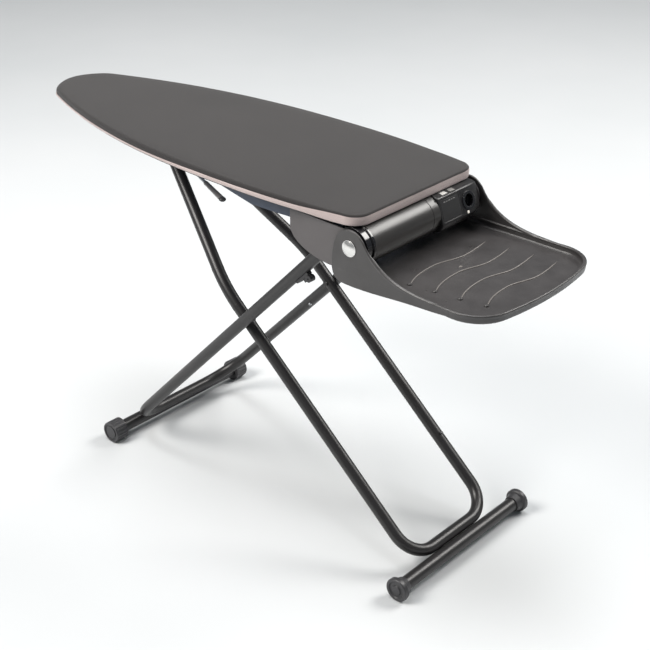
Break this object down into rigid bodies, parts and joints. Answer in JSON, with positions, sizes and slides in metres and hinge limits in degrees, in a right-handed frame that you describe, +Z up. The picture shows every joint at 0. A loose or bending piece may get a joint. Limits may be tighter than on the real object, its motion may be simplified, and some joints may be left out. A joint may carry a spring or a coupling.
{
  "type": "active ironing board",
  "caption": "Tapered padded ironing board with a rear fan housing, control box and hinged iron tray, on a folding tubular X stand with two foot bars.",
  "frame": {"origin": "centre of the bounding box in plan, at floor level", "axes": "+X from the nose towards the iron tray, -Y the side of the height lever, +Z up"},
  "size_m": [1.554, 0.494, 0.897],
  "materials": {
    "woven_cover": "matt woven",
    "hem_band": "smooth band",
    "felt": "felt",
    "plate_coat": "dark coat",
    "pan_paint": "satin",
    "dark_paint": "gloss powder coat",
    "grey_plastic": "fine grain",
    "dark_plastic": "fine grain",
    "rib_plastic": "satin",
    "housing_plastic": "satin",
    "box_plastic": "satin",
    "black_gloss": "gloss",
    "black_plastic": "matt",
    "white_plastic": "satin",
    "lamp_lens": "clear lens",
    "board_green": "solder mask",
    "motor_steel": "laminated",
    "silver_cap": "satin chrome",
    "zinc_steel": "zinc plated",
    "grip_sleeve": "sleeve"
  },
  "bodies": {
    "ironing_top": {"cover": "woven_cover", "cover_hem": "hem_band", "pad": "felt", "top_plate": "plate_coat", "plenum_pan": "pan_paint", "guide_rail": "dark_paint", "side_bracket_l": "grey_plastic", "side_bracket_r": "grey_plastic", "hinge_block_l": "dark_plastic", "hinge_block_r": "dark_plastic", "air_duct": "dark_plastic", "housing_shell": "housing_plastic", "housing_end_cap": "black_gloss", "fan_motor": "motor_steel", "control_box": "box_plastic", "control_panel_plate": "box_plastic", "control_pcb": "board_green", "socket_insert": "black_gloss", "indicator_lamp": "lamp_lens", "pan_screws": "zinc_steel", "hinge_screws": "zinc_steel", "hub_pin_l": "zinc_steel", "hub_pin_r": "zinc_steel", "hub_cap_l": "silver_cap", "hub_cap_r": "silver_cap", "lever_bearings": "dark_plastic"},
    "iron_tray": {"tray": "dark_plastic", "tray_ribs": "rib_plastic", "tray_nubs": "dark_plastic", "tray_rivet": "zinc_steel"},
    "outer_leg": {"leg_b_frame": "dark_paint", "leg_b_cross_rod": "dark_paint", "leg_b_plugs": "black_plastic", "foot_bar_b": "dark_paint", "foot_cap_b_l": "black_plastic", "foot_cap_b_r": "black_plastic", "leg_catch": "black_plastic", "tube_rivets": "zinc_steel", "pivot_bolts": "dark_paint", "pivot_spacers": "black_plastic"},
    "inner_leg": {"leg_a_frame": "dark_paint", "foot_bar_a": "dark_paint", "foot_cap_a_l": "black_plastic", "foot_cap_a_r": "black_plastic", "slider_pin": "zinc_steel", "slider_rollers": "white_plastic", "leg_a_plugs": "black_plastic", "leg_stud": "black_plastic"},
    "height_lever": {"lever_rod": "zinc_steel", "lever_grip": "grip_sleeve", "lock_rack": "zinc_steel", "lever_spring": "zinc_steel"},
    "fan_rotor": {"fan_impeller": "black_plastic", "fan_shaft": "zinc_steel"},
    "mode_rocker": {"rocker_mode": "white_plastic"},
    "power_rocker": {"rocker_power": "white_plastic"}
  },
  "joints": [
    {"name": "stand_fold", "type": "hinge", "parent": "ironing_top", "child": "outer_leg", "pos_m": [0.301, 0, 0.774], "axis": [0, -1, 0], "range_deg": [-44.22, 0]},
    {"name": "stand_scissor", "type": "hinge", "parent": "outer_leg", "child": "inner_leg", "pos_m": [0.0303, 0, 0.4926], "axis": [0, -1, 0], "range_deg": [0, 78.4]},
    {"name": "tray_fold", "type": "hinge", "parent": "ironing_top", "child": "iron_tray", "pos_m": [0.406, 0, 0.825], "axis": [0, 1, 0], "range_deg": [-85, 0]},
    {"name": "height_lift", "type": "hinge", "parent": "ironing_top", "child": "height_lever", "pos_m": [-0.159, 0, 0.822], "axis": [0, 1, 0], "range_deg": [-6, 0], "stiffness_Nm_per_rad": 4, "springref_deg": 20.05},
    {"name": "fan_spin", "type": "hinge", "parent": "ironing_top", "child": "fan_rotor", "pos_m": [0.406, 0, 0.825], "axis": [0, 1, 0], "continuous": true},
    {"name": "mode_switch", "type": "hinge", "parent": "ironing_top", "child": "mode_rocker", "pos_m": [0.43003, 0.076, 0.86494], "axis": [0, 1, 0], "range_deg": [0, 12]},
    {"name": "power_switch", "type": "hinge", "parent": "ironing_top", "child": "power_rocker", "pos_m": [0.43003, 0.104, 0.86494], "axis": [0, 1, 0], "range_deg": [0, 12]}
  ],
  "couplings": [
    {"joint": "stand_scissor", "follows": "stand_fold", "ratio": -1.7702}
  ]
}
